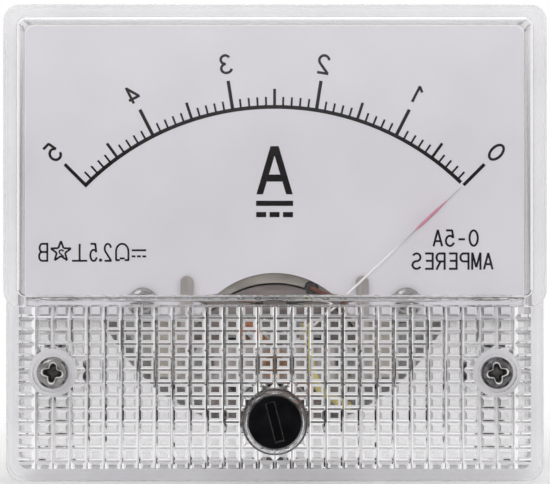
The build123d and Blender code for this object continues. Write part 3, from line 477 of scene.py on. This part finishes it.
# single strokes of each sign in a cell of 1 by 1
strokes = {
    "0": [arcPoints((0.5, 0.5), (0.5, 0.5), 0, 360, 32)],
    "1": [[(0.6, 0), (0.6, 1)], [(0.62, 0.98), (0.15, 0.74)]],
    "2": [arcPoints((0.5, 0.72), (0.47, 0.28), 170, -38, 18) + [(0.02, 0.02)], [(-0.08, 0), (1, 0)]],
    "3": [arcPoints((0.47, 0.76), (0.42, 0.24), 160, -90), arcPoints((0.47, 0.26), (0.5, 0.26), 90, -165)],
    "4": [[(0.74, 0), (0.74, 1)], [(0.76, 0.96), (0, 0.28)], [(-0.1, 0.26), (1.05, 0.26)]],
    "5": [[(0.95, 1), (0.18, 1)], [(0.22, 1.02), (0.07, 0.5)],
          arcPoints((0.47, 0.32), (0.5, 0.33), 145, -160, 20)],
    "B": [[(0, -0.06), (0, 1.06)], [(0, 1)] + arcPoints((0.6, 0.76), (0.34, 0.24), 90, -90) + [(0, 0.52)],
          [(0, 0.52)] + arcPoints((0.62, 0.26), (0.38, 0.26), 90, -90) + [(0, 0)]],
    "-": [[(0.1, 0.42), (0.9, 0.42)]],
    "A": [[(-0.02, -0.04), (0.5, 1.04)], [(1.02, -0.04), (0.5, 1.04)], [(0.16, 0.3), (0.84, 0.3)]],
    "M": [[(0, -0.06), (0, 1.06)], [(0, 1.06), (0.5, 0.1)], [(1, 1.06), (0.5, 0.1)], [(1, -0.06), (1, 1.06)]],
    "P": [[(0, -0.06), (0, 1.06)], [(0, 1)] + arcPoints((0.6, 0.74), (0.38, 0.26), 90, -90) + [(0, 0.48)]],
    "E": [[(0, -0.06), (0, 1.06)], [(0, 1), (0.92, 1)], [(0, 0.52), (0.82, 0.52)], [(0, 0), (0.92, 0)]],
    "R": [[(0, -0.06), (0, 1.06)], [(0, 1)] + arcPoints((0.6, 0.74), (0.38, 0.26), 90, -90) + [(0, 0.48)],
          [(0.5, 0.48), (1, -0.06)]],
    "S": [arcPoints((0.5, 0.75), (0.46, 0.25), 25, 270, 20),
          arcPoints((0.5, 0.25), (0.5, 0.25), 90, -155, 20)],
    "upright": [[(0.5, 0), (0.5, 1)], [(0, 0), (1, 0)]],
    "magnet": [[(0, 0.05), (0, 0.55)] + arcPoints((0.5, 0.55), (0.5, 0.45), 180, 0, 20) + [(1, 0.05)],
               [(-0.06, 0.04), (0.3, 0.04)], [(0.7, 0.04), (1.06, 0.04)], [(0.3, 0.14), (0.7, 0.14)]],
    "direct": [[(0, 0.62), (1, 0.62)], [(0, 0.26), (0.26, 0.26)], [(0.37, 0.26), (0.63, 0.26)],
               [(0.74, 0.26), (1, 0.26)]],
    "star": [[(0.5 + r * math.sin(math.radians(36 * k)), 0.48 + r * math.cos(math.radians(36 * k)))
              for k, r in ((n, 0.56), (n + side, 0.23))] for side in (1, -1) for n in range(0, 10, 2)],
}
# signs of the row: name, left edge, width and height as a share of the row's height
signRow = [("direct", 15.6, 1.75, 1), ("magnet", 17.75, 1.5, 1), ("2", 19.85, 0.8, 1), ("5", 21.6, 0.8, 1),
           ("upright", 22.75, 1.85, 1), ("star", 24.8, 2.3, 1.12), ("B", 27.6, 1.0, 1)]
rowDot = (21.13, -2.2, 0.2)  # middle and radius
starDigit = (25.62, -1.78, 0.55, 0.82)  # left edge, foot, width and height


def placedAt(x, z, turn=0, middle=(0, 0)):
    # puts a sign's middle or corner at (x, z), turned clockwise
    c, s = math.cos(turn), math.sin(turn)

    def place(u, v):
        u, v = u - middle[0], v - middle[1]
        return (x + u * c + v * s, z - u * s + v * c)

    return place


def drawSign(bm, name, size, stroke, place):
    for line in strokes[name]:
        band(bm, [place(x * size[0], y * size[1]) for x, y in line], stroke)


def drawUnit(bm, letter, bars):
    top, foot = letter["top"], letter["foot"]
    for s in (1, -1):
        patch(bm, [(0, top), (s * letter["topHalf"], top), (s * letter["outerFoot"], foot),
                   (s * letter["innerFoot"], foot), (0, letter["peak"])])
    (high, highHalf), (low, lowHalf) = letter["barTop"], letter["barFoot"]
    patch(bm, [(-highHalf, high), (highHalf, high), (lowHalf, low), (-lowHalf, low)])
    band(bm, [(s * bars["lineHalf"], bars["lineZ"]) for s in (-1, 1)], bars["stroke"])
    for k in (-1, 0, 1):
        x = k * bars["dashStep"]
        band(bm, [(x + s * bars["dashHalf"], bars["dashZ"]) for s in (-1, 1)], bars["stroke"])


def drawDial(look):
    bm = bmesh.new()
    half, radius, centreZ = look["halfAngle"], look["arcRadius"], look["centreZ"]
    overlap = math.degrees(look["ticks"]["unit"][4] / 2 / radius)
    gap = math.degrees(look["zeroGap"] / radius)
    scaleArc = arcPoints((0, centreZ), (radius, radius), 90 + half - gap, 90 - half - overlap, 90)
    band(bm, scaleArc, look["arcWidth"])
    for unit in range(look["units"] + 1):
        turn = math.radians(-half + 2 * half * unit / look["units"])
        out = look["digitRadius"]
        place = placedAt(out * math.sin(turn), centreZ + out * math.cos(turn), turn,
                         (look["digitSize"][0] / 2, look["digitSize"][1] / 2))
        drawSign(bm, str(unit), look["digitSize"], look["digitStroke"], place)
    for name, left, width, height in signRow:
        size = (width, look["rowHeight"] * height)
        drawSign(bm, name, size, look["rowStroke"], placedAt(left, look["rowBottom"]))
    drawSign(bm, "2", starDigit[2:], look["starStroke"], placedAt(*starDigit[:2]))
    patch(bm, arcPoints(rowDot[:2], (rowDot[2], rowDot[2]), 0, 337.5, 15))  # 16 sides
    drawUnit(bm, unitLetter, unitBars)
    return bm


def drawWord(bm, text, x, z, look):
    left = -x - ((len(text) - 1) * look["letterPitch"] + look["letterSize"][0]) / 2
    for k, letter in enumerate(text):
        place = placedAt(left + k * look["letterPitch"], z)
        drawSign(bm, letter, look["letterSize"], look["letterStroke"], place)


# what the node trees of the ticks and the threads share

def newTree(name, inputs):
    tree = bpy.data.node_groups.new(name, "GeometryNodeTree")
    ids = {}
    for key, kind in inputs.items():
        made = tree.interface.new_socket(key, in_out="INPUT", socket_type="NodeSocket" + kind)
        ids[key] = made.identifier
    tree.interface.new_socket("Geometry", in_out="OUTPUT", socket_type="NodeSocketGeometry")
    return tree, ids


def calc(tree, operation, a, b=None):
    node = tree.nodes.new("ShaderNodeMath")
    node.operation = operation
    for i, value in enumerate((a, b)):
        if isinstance(value, (int, float)):
            node.inputs[i].default_value = value
        elif value is not None:
            tree.links.new(value, node.inputs[i])
    return node.outputs[0]


def endPainted(tree, geometry, finish):
    add, link = tree.nodes.new, tree.links.new
    real, paint = add("GeometryNodeRealizeInstances"), add("GeometryNodeSetMaterial")
    link(geometry, real.inputs[0])
    link(real.outputs[0], paint.inputs["Geometry"])
    link(finish, paint.inputs["Material"])
    link(paint.outputs[0], add("NodeGroupOutput").inputs[0])


def tickTree():
    # ticks stand outward on the arc; From and To pick the divisions within each Period
    tree, ids = newTree("dial ticks", {
        "Count": "Int", "Period": "Int", "From": "Int", "To": "Int", "Half Angle": "Float", "Radius": "Float",
        "Centre Z": "Float", "Length": "Float", "Width": "Float", "Ink": "Material"})
    add, link = tree.nodes.new, tree.links.new
    asked = add("NodeGroupInput").outputs
    index = add("GeometryNodeInputIndex").outputs[0]
    share = calc(tree, "DIVIDE", index, calc(tree, "SUBTRACT", asked["Count"], 1))
    fromMiddle = calc(tree, "SUBTRACT", calc(tree, "MULTIPLY", share, 2), 1)
    turn = calc(tree, "MULTIPLY", asked["Half Angle"], fromMiddle)
    reach = calc(tree, "ADD", asked["Radius"], calc(tree, "DIVIDE", asked["Length"], 2))
    rise = calc(tree, "MULTIPLY", calc(tree, "COSINE", turn), reach)
    place = add("ShaderNodeCombineXYZ")
    link(calc(tree, "MULTIPLY", calc(tree, "SINE", turn), reach), place.inputs["X"])
    link(calc(tree, "ADD", asked["Centre Z"], rise), place.inputs["Z"])
    points = add("GeometryNodePoints")
    link(asked["Count"], points.inputs["Count"])
    link(place.outputs[0], points.inputs["Position"])
    within = calc(tree, "MODULO", index, asked["Period"])
    low = calc(tree, "GREATER_THAN", within, calc(tree, "SUBTRACT", asked["From"], 0.5))
    high = calc(tree, "LESS_THAN", within, calc(tree, "ADD", asked["To"], 0.5))
    grid = add("GeometryNodeMeshGrid")
    grid.inputs["Vertices X"].default_value = 2
    grid.inputs["Vertices Y"].default_value = 2
    link(asked["Width"], grid.inputs["Size X"])
    link(asked["Length"], grid.inputs["Size Y"])
    upright = add("GeometryNodeTransform")
    upright.inputs["Rotation"].default_value = (math.pi / 2, 0, 0)
    link(grid.outputs["Mesh"], upright.inputs["Geometry"])
    spread = add("GeometryNodeInstanceOnPoints")
    turned = add("ShaderNodeCombineXYZ")
    link(turn, turned.inputs["Y"])
    link(points.outputs[0], spread.inputs["Points"])
    link(calc(tree, "MULTIPLY", low, high), spread.inputs["Selection"])
    link(upright.outputs[0], spread.inputs["Instance"])
    link(turned.outputs[0], spread.inputs["Rotation"])
    endPainted(tree, spread.outputs[0], asked["Ink"])
    return tree, ids


def treeMesh(name, tree, ids, values):
    holder = bpy.data.objects.new(name, bpy.data.meshes.new(name))
    scene.collection.objects.link(holder)
    modifier = holder.modifiers.new(name, "NODES")
    modifier.node_group = tree
    for key, value in values.items():
        modifier[ids[key]] = value
    return evaluatedMesh(holder)


ticks, tickIds = tickTree()
dialArt = drawDial(dialPrint)
for name, (period, first, last, length, width) in dialPrint["ticks"].items():
    dialArt.from_mesh(treeMesh(name + " ticks", ticks, tickIds, {
        "Count": dialPrint["units"] * dialPrint["divisions"] + 1, "Period": period, "From": first, "To": last,
        "Half Angle": math.radians(dialPrint["halfAngle"]), "Radius": dialPrint["arcRadius"],
        "Centre Z": dialPrint["centreZ"], "Length": length, "Width": width, "Ink": finishOf["printInk"]}))
for text, x, z in dialPrint["words"]:
    drawWord(dialArt, text, x, z, dialPrint)
for v in dialArt.verts:
    v.co.x = -v.co.x if dialPrint["mirrored"] else v.co.x
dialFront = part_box("dial_plate")[0].y / mm
thicken(dialArt, dialFront - dialPrint["proud"], -1, dialPrint["thick"])
addPiece("dial_print", dialArt, "dial_paint", "housing", ("printInk",))
print("dial print:", dialPrint["units"] * dialPrint["divisions"] + 1, "divisions")


# cross-recess screws: a domed head with a tapered four-lobed recess, in place of the plain ones

def turnedSolid(profile, segments=48):
    # profile is (radius, y) from the axis at the front to the axis at the rear
    bm = bmesh.new()
    line = [bm.verts.new((r, y, 0)) for r, y in profile]
    edges = [bm.edges.new(pair) for pair in zip(line, line[1:])]
    bmesh.ops.spin(bm, geom=line + edges, axis=(0, 1, 0), cent=(0, 0, 0), angle=2 * math.pi, steps=segments)
    bmesh.ops.remove_doubles(bm, verts=bm.verts[:], dist=seamWithin)
    bmesh.ops.recalc_face_normals(bm, faces=bm.faces[:])
    return bm


# recess: how far its cutter stands above the head, what share of its width is left at the floor and lies
# between two lobes, and the half angle and steps of a lobe's round tip
recessForm = {"above": 0.5, "floor": 0.6, "between": 0.62, "tipDegrees": 80, "tipSteps": 8}


def recessCutter(look, form):
    # four rounded lobes, narrower at the bottom, with a flared rim
    bm = bmesh.new()
    reach, width, rim = look["recessReach"], look["recessWidth"], look["rimDepth"]
    above, tipTurn = form["above"], form["tipDegrees"]
    outline = []
    for quarter in range(4):
        tip = arcPoints((reach - width / 2, 0), (width / 2, width / 2), -tipTurn, tipTurn, form["tipSteps"])
        inner = [(width * form["between"], width * form["between"])]
        c, s = math.cos(math.pi / 2 * quarter), math.sin(math.pi / 2 * quarter)
        outline += [(x * c - z * s, x * s + z * c) for x, z in tip + inner]
    rings = []
    flared = 1 + (above + rim) * look["rimSlope"]
    for y, share in ((-above, flared), (rim, 1), (look["recessDepth"], form["floor"])):
        rings.append([bm.verts.new((x * share, y, z * share)) for x, z in outline])
    count = len(outline)
    for upper, lower in zip(rings, rings[1:]):
        for i in range(count):
            j = (i + 1) % count
            bm.faces.new((upper[i], upper[j], lower[j], lower[i]))
    bm.faces.new(rings[0])
    bm.faces.new(rings[-1])
    bmesh.ops.recalc_face_normals(bm, faces=bm.faces[:])
    return bm


def looseObject(name, bm):
    mesh = bpy.data.meshes.new(name)
    bm.to_mesh(mesh)
    bm.free()
    obj = bpy.data.objects.new(name, mesh)
    scene.collection.objects.link(obj)
    return obj


def crossHeadScrew(look):
    r, h, crown = look["radius"], look["height"], look["crown"]
    flat = look["flat"] * r
    edge = arcPoints((flat, crown), (r - flat, crown), 90, 0, look["domeSteps"])
    dome = [(0, 0)] + [(x, crown - (z - crown)) for x, z in edge]
    shank = [(r, h), (look["shank"], h), (look["shank"], look["length"]), (0, look["length"])]
    head = looseObject("head", turnedSolid(dome + shank))
    cutter = looseObject("cutter", recessCutter(look, recessForm))
    cut = head.modifiers.new("recess", "BOOLEAN")
    cut.object, cut.solver = cutter, "EXACT"
    mesh = evaluatedMesh(head)
    bpy.data.objects.remove(cutter)
    for face in mesh.polygons:
        # faces that lie under the dome are the recess's: first its rim, which takes a painted highlight, then its
        # walls and floor, which take painted shade
        away = math.hypot(face.center.x, face.center.z)
        out = min(max(away - flat, 0) / (r - flat), 1)
        under = face.center.y - crown * (1 - math.sqrt(1 - out * out))
        if under > look["under"] and away < r - look["under"] and face.center.y < h - look["under"]:
            face.material_index = 1 if face.center.y < look["rimDepth"] else 2
    return mesh


def screwSet(name, node, look):
    single = crossHeadScrew(look)
    low, high = (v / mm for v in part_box(node))
    bm = bmesh.new()
    for k, x in enumerate((low.x + look["radius"], high.x - look["radius"])):
        copy, turn = single.copy(), look["turns"][k]
        for face in copy.polygons:
            if k == 1 and face.material_index == 0:  # the second head takes the fourth finish; on the cover screws that is a darker copy of the head, painted shade
                face.material_index = 3
        copy.transform(Matrix.Translation((x, low.y, (low.z + high.z) / 2))
                       @ Matrix.Rotation(math.radians(turn), 4, "Y"))
        bm.from_mesh(copy)
    obj = addPiece(name, bm, "nickel_screw", "housing", look["finish"])
    smoothTo(obj, look["smooth"])
    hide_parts(node)


# finish: first head, rim of the recess (painted highlight), recess (painted shade), second head; under is how deep
# a face of the recess lies
coverScrew = {"radius": 1.9, "height": 1.5, "crown": 0.55, "flat": 0.45, "shank": 1.2, "length": 5.5,
              "recessReach": 1.16, "recessWidth": 0.72, "recessDepth": 1.15, "rimDepth": 0.3,
              "rimSlope": 0.7, "under": 0.03, "domeSteps": 10, "smooth": 40, "turns": (7, -9),
              "finish": ("dimNickelHead", "rubbedRimHighlight", "recessPaintedShade", "paintedShadeHead")}
dialScrew = {"radius": 1.8, "height": 1.3, "crown": 0.7, "flat": 0.3, "shank": 0.95, "length": 4.2,
             "recessReach": 0.98, "recessWidth": 0.46, "recessDepth": 0.8, "rimDepth": 0.2,
             "rimSlope": 0.7, "under": 0.03, "domeSteps": 10, "smooth": 40, "turns": (10, 55),
             "finish": ("nickel_screw", "rubbedRimHighlight", "recessPaintedShade", "nickel_screw")}
screwSet("cover_screw_heads", "cover_screws", coverScrew)
screwSet("dial_screw_heads", "dial_screws", dialScrew)
print("cross-recess screws: 4")


# threads of the studs behind the panel; runOut is how far from each end they stop, as a share of the pitch
threadForm = {"turnSteps": 28, "coreSides": 28, "runOut": 0.7, "shankSides": 32, "smooth": 35}


def threadTree(form):
    # a V ridge wound on a core along +Y, from the start plane
    tree, ids = newTree("stud thread", {
        "Radius": "Float", "Depth": "Float", "Length": "Float", "Pitch": "Float", "Place": "Vector",
        "Metal": "Material"})
    add, link = tree.nodes.new, tree.links.new
    asked = add("NodeGroupInput").outputs
    core = calc(tree, "SUBTRACT", asked["Radius"], asked["Depth"])
    bothEnds = calc(tree, "MULTIPLY", asked["Pitch"], 2 * form["runOut"])
    run = calc(tree, "SUBTRACT", asked["Length"], bothEnds)
    helix = add("GeometryNodeCurveSpiral")
    helix.inputs["Resolution"].default_value = form["turnSteps"]
    link(calc(tree, "DIVIDE", run, asked["Pitch"]), helix.inputs["Rotations"])
    link(core, helix.inputs["Start Radius"])
    link(core, helix.inputs["End Radius"])
    link(run, helix.inputs["Height"])
    ridge = add("GeometryNodeCurvePrimitiveCircle")
    ridge.inputs["Resolution"].default_value = 4
    link(asked["Depth"], ridge.inputs["Radius"])
    wound = add("GeometryNodeCurveToMesh")
    wound.inputs["Fill Caps"].default_value = True
    link(helix.outputs["Curve"], wound.inputs["Curve"])
    link(ridge.outputs["Curve"], wound.inputs["Profile Curve"])
    rod = add("GeometryNodeMeshCylinder")
    rod.inputs["Vertices"].default_value = form["coreSides"]
    link(core, rod.inputs["Radius"])
    link(asked["Length"], rod.inputs["Depth"])

    def raised(mesh, height):
        up, lift = add("ShaderNodeCombineXYZ"), add("GeometryNodeTransform")
        link(height, up.inputs["Z"])
        link(mesh, lift.inputs["Geometry"])
        link(up.outputs[0], lift.inputs["Translation"])
        return lift.outputs[0]

    join = add("GeometryNodeJoinGeometry")
    oneEnd = calc(tree, "MULTIPLY", asked["Pitch"], form["runOut"])
    link(raised(wound.outputs["Mesh"], oneEnd), join.inputs[0])
    link(raised(rod.outputs["Mesh"], calc(tree, "MULTIPLY", asked["Length"], 0.5)), join.inputs[0])
    lay = add("GeometryNodeTransform")
    lay.inputs["Rotation"].default_value = (-math.pi / 2, 0, 0)
    link(join.outputs[0], lay.inputs["Geometry"])
    link(asked["Place"], lay.inputs["Translation"])
    endPainted(tree, lay.outputs[0], asked["Metal"])
    return tree, ids


threads, threadIds = threadTree(threadForm)
# steps are (radius, to depth) from the head's front; the thread runs from the last one to the stud's end
terminalStud = {"radius": 2.0, "depth": 0.4, "pitch": 0.7, "steps": [(4.0, 25.2), (2.0, 29.8), (1.77, 33.0)]}
mountingStud = {"radius": 1.5, "depth": 0.3, "pitch": 0.5, "steps": [(2.5, -0.6), (1.7, 0.0)]}


def studSet(name, node, look):
    low, high = (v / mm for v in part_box(node))
    bm = bmesh.new()
    headR, threadY = look["steps"][0][0], look["steps"][-1][1]
    profile = [(0, low.y)]
    for radius, y in look["steps"]:
        profile += [(radius, profile[-1][1]), (radius, y)]
    profile.append((0, threadY))
    for x in (low.x + headR, high.x - headR):
        z = (low.z + high.z) / 2
        shank = turnedSolid(profile, threadForm["shankSides"])
        bmesh.ops.translate(shank, vec=(x, 0, z), verts=shank.verts[:])
        mesh = bpy.data.meshes.new("shank")
        shank.to_mesh(mesh)
        shank.free()
        bm.from_mesh(mesh)
        bm.from_mesh(treeMesh("thread", threads, threadIds, {
            "Radius": look["radius"], "Depth": look["depth"], "Length": high.y - threadY,
            "Pitch": look["pitch"], "Place": (x, threadY, z), "Metal": finishOf["brass"]}))
    obj = addPiece(name, bm, "brass", "housing")
    smoothTo(obj, threadForm["smooth"])
    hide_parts(node)


studSet("threaded_terminals", "terminal_studs", terminalStud)
studSet("threaded_mounting_studs", "mounting_studs", mountingStud)
print("threads: 4 studs")


# pointer: drawn round on its front, so that one side of it takes the light
# sections are (distance from the pivot, half width)
pointerShape = {"sections": [(0.7, 0.15), (19.0, 0.14), (23.2, 0.1), (24.4, 0.2), (26.6, 0.2), (28.4, 0.09),
                             (30.9, 0.04)],
                "roundness": 8, "smooth": 50}


def pointerPiece(look):
    mesh = nodes["pointer"].data
    pivot = Vector(joints["pointer_deflection"]["pos_m"])
    pivot.y = 0
    flat = [Vector((v.co.x, 0, v.co.z)) for v in mesh.vertices]
    tip = max(flat, key=lambda p: (p - pivot).length)
    along = (tip - pivot).normalized()
    across = Vector((along.z, 0, -along.x))
    low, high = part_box("pointer")
    rear, thick = high.y / mm, (high.y - low.y) / mm
    bm = bmesh.new()
    rows = []
    for reach, half in look["sections"]:
        row = []
        for k in range(look["roundness"] + 1):
            t = math.pi * k / look["roundness"]
            p = pivot / mm + along * reach + across * half * math.cos(t)
            row.append(bm.verts.new((p.x, rear - thick * math.sin(t), p.z)))
        rows.append(row)
    for a, b in zip(rows, rows[1:]):
        for k in range(len(a)):
            j = (k + 1) % len(a)
            bm.faces.new((a[k], a[j], b[j], b[k]))
    bm.faces.new(rows[0])
    bm.faces.new(rows[-1])
    bmesh.ops.recalc_face_normals(bm, faces=bm.faces[:])
    obj = addPiece("pointer_needle", bm, "pointer_paint", "moving_coil")
    smoothTo(obj, look["smooth"])
    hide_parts("pointer")


pointerPiece(pointerShape)
print("pointer")


# moulded polarity marks above the terminals, on the can's rear face
polarity = {"size": 2.6, "line": 0.6, "proud": 0.25, "thick": 0.35, "above": 9.0, "rear": 28.0}


def polarityMarks(look):
    bm = bmesh.new()
    low, high = (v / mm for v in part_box("terminal_nuts"))
    z = (low.z + high.z) / 2 + look["above"]
    half = look["size"] / 2
    inset = (high.z - low.z) / 2
    left, right = low.x + inset, high.x - inset
    band(bm, [(left - half, z), (left + half, z)], look["line"])
    band(bm, [(right - half, z), (right + half, z)], look["line"])
    band(bm, [(right, z - half), (right, z + half)], look["line"])
    thicken(bm, look["rear"] + look["proud"], 1, look["thick"])
    addPiece("polarity_marks", bm, "white_plastic", "housing")


polarityMarks(polarity)
print("polarity marks")


# pale floor that fades into the white round it, soft lamps and the camera
# room: what polished surfaces show of it in front of the meter, and behind is how white the ground is
# floor: its size in metres, and its blotches in mm
stageLook = {"floorSize": 2, "floorDark": (0.88, 0.88, 0.88), "floorLight": (0.9, 0.9, 0.9), "rough": 0.8,
             "blotch": 40, "span": (0.3, 0.7), "solidTo": 0.045, "fadeTo": 0.11, "soft": (0.72, 0.82),
             "room": {"camera": 0.1, "above": 0.66, "below": 0.36, "left": 0.7, "right": 0.56, "behind": 1.0},
             "upFrom": (0.03, 0.16), "sideFrom": (0.1, 0.24), "backFrom": (-0.3, 0)}


def addFloor(look):
    bpy.ops.mesh.primitive_plane_add(size=look["floorSize"], location=(0, 0, cadBox[0].z))
    floor = bpy.context.active_object
    floor.name = "floor"
    mat, tree, shader = newMaterial("pale floor", {"Roughness": look["rough"]})
    coords = objectCoords(tree)
    blotches = noise(tree, coords, look["blotch"])
    tone = ramp(tree, blotches, [(look["span"][0], look["floorDark"]), (look["span"][1], look["floorLight"])])
    tree.links.new(tone, shader.inputs["Base Color"])
    fade = between(tree, lengthOf(tree, coords), 1, 0, look["solidTo"], look["fadeTo"])
    tree.links.new(fade, shader.inputs["Alpha"])
    floor.data.materials.append(mat)


def addWorld(look):
    # soft light all round; polished surfaces meet a dimmer room, darkest in front of the meter, and a white
    # ground behind it
    world = bpy.data.worlds.new("studio")
    world.use_nodes = True
    tree = world.node_tree
    add, link = tree.nodes.new, tree.links.new
    room = look["room"]

    def blend(factor, a, b):
        node = add("ShaderNodeMix")
        link(factor, node.inputs["Factor"])
        for name, v in (("A", a), ("B", b)):
            if isinstance(v, (int, float)):
                node.inputs[name].default_value = v
            else:
                link(v, node.inputs[name])
        return node.outputs["Result"]

    def background(strength):
        node = add("ShaderNodeBackground")
        node.inputs["Color"].default_value = (1, 1, 1, 1)
        link(strength, node.inputs["Strength"])
        return node.outputs[0]

    where, split = add("ShaderNodeTexCoord"), add("ShaderNodeSeparateXYZ")
    link(where.outputs["Generated"], split.inputs[0])
    x, y, z = split.outputs
    low, high = look["upFrom"]
    seen = blend(between(tree, z, 1, 0, -high, -low), room["camera"], room["below"])
    seen = blend(between(tree, z, 0, 1, low, high), seen, room["above"])
    low, high = look["sideFrom"]
    seen = blend(between(tree, x, 1, 0, -high, -low), seen, room["left"])
    seen = blend(between(tree, x, 0, 1, low, high), seen, room["right"])
    seen = blend(between(tree, y, 0, 1, *look["backFrom"]), seen, room["behind"])
    path = add("ShaderNodeLightPath")
    mix = add("ShaderNodeMixShader")
    link(path.outputs["Is Diffuse Ray"], mix.inputs["Fac"])
    link(background(seen), mix.inputs[1])
    link(background(between(tree, z, *look["soft"], -1, 1)), mix.inputs[2])
    link(mix.outputs[0], tree.nodes["World Output"].inputs["Surface"])
    scene.world = world


# place, size in metres and power in watts of each lamp; the front one reaches into the can and stays out
# of reflections
lamps = {"key": ((-0.42, -0.62, 0.7), 0.5, 1.2), "fill": ((0.7, -0.6, 0.25), 0.6, 0.5),
         "front": ((-0.06, -1.0, 0.12), 0.3, 1.8), "back": ((0.1, 0.5, 0.75), 0.5, 1.2)}


def addLamps():
    for name, (place, size, power) in lamps.items():
        data = bpy.data.lights.new(name, "AREA")
        data.size, data.energy = size, power
        lamp = bpy.data.objects.new(name, data)
        lamp.location = place
        lamp.visible_glossy = lamp.visible_transmission = name != "front"
        lamp.rotation_euler = (-Vector(place)).to_track_quat("-Z", "Y").to_euler()
        scene.collection.objects.link(lamp)


# the photo is 550 px wide with 8.51 px per mm on the window, taken from about 265 mm in front of it
cameraLook = {"lens": 147.6, "sensor": 36, "place": (-1.5, -278, 0), "windowY": -13}


def addCamera(look):
    data = bpy.data.cameras.new("camera")
    data.lens, data.sensor_width = look["lens"], look["sensor"]
    x, y = look["place"][:2]
    data.shift_x = -x * look["lens"] / look["sensor"] / (look["windowY"] - y)
    camera = bpy.data.objects.new("camera", data)
    camera.location = Vector(look["place"]) * mm
    camera.rotation_euler = (math.pi / 2, 0, 0)
    scene.collection.objects.link(camera)
    scene.camera = camera


addFloor(stageLook)
addWorld(stageLook)
addLamps()
addCamera(cameraLook)
scene.view_settings.view_transform = "Standard"
print("stage, lamps and camera")
